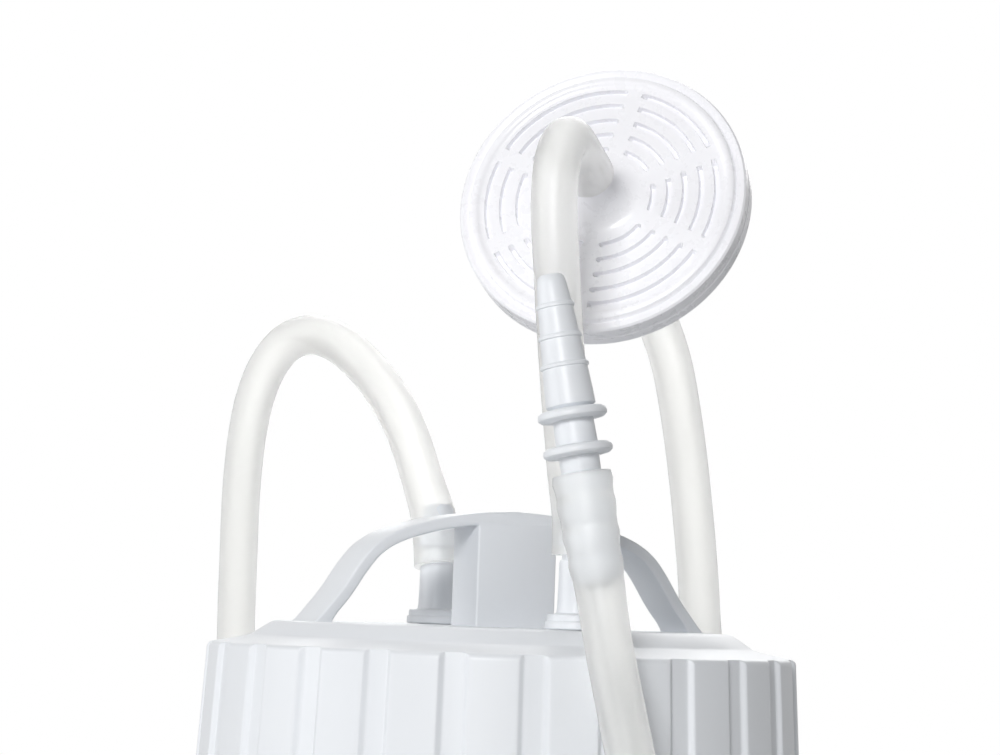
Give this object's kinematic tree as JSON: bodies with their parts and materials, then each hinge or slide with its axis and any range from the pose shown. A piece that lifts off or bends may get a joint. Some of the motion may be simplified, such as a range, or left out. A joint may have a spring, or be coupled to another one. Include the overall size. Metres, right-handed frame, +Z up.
{
  "type": "suction pump",
  "caption": "Table-top medical suction pump: motor housing with vacuum gauge and regulator beside a lidded collection jar with float valve, disc filter and silicone hoses.",
  "frame": {"origin": "on the table under the middle of the tray", "axes": "+Z up, front panel towards -Y, collection jar at -X and pump housing at +X"},
  "size_m": [0.3551, 0.3631, 0.3454],
  "materials": {
    "case_plastic": "fine moulded texture, light grey",
    "lid_plastic": "satin moulded polypropylene, cool white",
    "dark_plastic": "satin moulded, charcoal",
    "green_lens": "translucent green",
    "clear_jar": "clear polycarbonate",
    "clear_filter": "translucent moulded",
    "gauge_glass": "clear polycarbonate",
    "filter_paper": "white hydrophobic membrane",
    "silicone": "translucent silicone",
    "black_rubber": "matt",
    "needle_red": "satin red paint",
    "float_orange": "satin moulded",
    "steel": "brushed",
    "cast_aluminium": "fine cast",
    "brass": "turned"
  },
  "bodies": {
    "base": {"base_tray": "case_plastic", "foot_1": "black_rubber", "foot_2": "black_rubber", "foot_3": "black_rubber", "foot_4": "black_rubber", "housing_shell": "case_plastic", "front_panel": "dark_plastic", "panel_screw_1": "steel", "panel_screw_2": "steel", "panel_screw_3": "steel", "panel_screw_4": "steel", "gauge_case": "steel", "gauge_dial": "lid_plastic", "gauge_lens": "gauge_glass", "regulator_valve": "brass", "switch_frame": "dark_plastic", "power_lamp": "green_lens", "inlet_nipple": "lid_plastic", "handle_bracket_left": "dark_plastic", "handle_bracket_right": "dark_plastic", "mains_inlet": "dark_plastic", "mounting_plate": "steel", "rubber_mount_1": "black_rubber", "rubber_mount_2": "black_rubber", "rubber_mount_3": "black_rubber", "rubber_mount_4": "black_rubber", "motor_body": "cast_aluminium", "crankcase": "cast_aluminium", "pump_cylinder": "cast_aluminium", "pump_head": "cast_aluminium", "exhaust_silencer": "dark_plastic", "inner_tube": "silicone"},
    "jar_set": {"jar": "clear_jar"},
    "lid_set": {"jar_lid": "lid_plastic", "patient_port": "lid_plastic", "vacuum_port": "lid_plastic", "lid_gasket": "black_rubber", "float_cage": "lid_plastic", "hose_holder": "lid_plastic", "filter_front_shell": "clear_filter", "filter_rear_shell": "clear_filter", "filter_membrane": "filter_paper", "filter_hose_lid": "silicone", "filter_hose_pump": "silicone", "patient_hose": "silicone", "patient_hose_coil": "silicone", "patient_hose_end": "silicone", "cone_connector": "lid_plastic"},
    "float": {"float_cup": "float_orange", "float_seal": "black_rubber"},
    "needle": {"gauge_needle": "needle_red"},
    "knob": {"regulator_knob": "dark_plastic"},
    "rocker": {"power_rocker": "green_lens"},
    "bail": {"carry_handle": "dark_plastic"},
    "fuse": {"fuse_drawer": "dark_plastic"},
    "rotor": {"motor_shaft": "steel", "eccentric": "brass", "cooling_fan": "dark_plastic"},
    "rod": {"con_rod": "steel", "piston": "black_rubber"}
  },
  "joints": [
    {"name": "jar_lift", "type": "slide", "parent": "base", "child": "jar_set", "axis": [0, 0, 1], "range_m": [0, 0.12]},
    {"name": "lid_lift", "type": "slide", "parent": "jar_set", "child": "lid_set", "axis": [0, 0, 1], "range_m": [0, 0.08]},
    {"name": "float_rise", "type": "slide", "parent": "lid_set", "child": "float", "axis": [0, 0, 1], "range_m": [0, 0.0245]},
    {"name": "needle_swing", "type": "hinge", "parent": "base", "child": "needle", "pos_m": [0.042, -0.088, 0.108], "axis": [0, 1, 0], "range_deg": [0, 270], "stiffness_Nm_per_rad": 0.00002, "springref_deg": -34.38},
    {"name": "regulator_turn", "type": "hinge", "parent": "base", "child": "knob", "pos_m": [0.11, -0.088, 0.112], "axis": [0, 1, 0], "range_deg": [0, 270]},
    {"name": "switch_rock", "type": "hinge", "parent": "base", "child": "rocker", "pos_m": [0.11, -0.088, 0.068], "axis": [0, 0, -1], "range_deg": [0, 16]},
    {"name": "carry_handle_fold", "type": "hinge", "parent": "base", "child": "bail", "pos_m": [0.08, 0.052, 0.1715], "axis": [-1, 0, 0], "range_deg": [0, 100]},
    {"name": "fuse_drawer_slide", "type": "slide", "parent": "base", "child": "fuse", "axis": [0, 1, 0], "range_m": [0, 0.012]},
    {"name": "rotor_spin", "type": "hinge", "parent": "base", "child": "rotor", "pos_m": [0.08, 0.028, 0.084], "axis": [1, 0, 0], "continuous": true},
    {"name": "piston_stroke", "type": "slide", "parent": "base", "child": "rod", "axis": [0, 0, 1], "range_m": [-0.003, 0.003]}
  ]
}
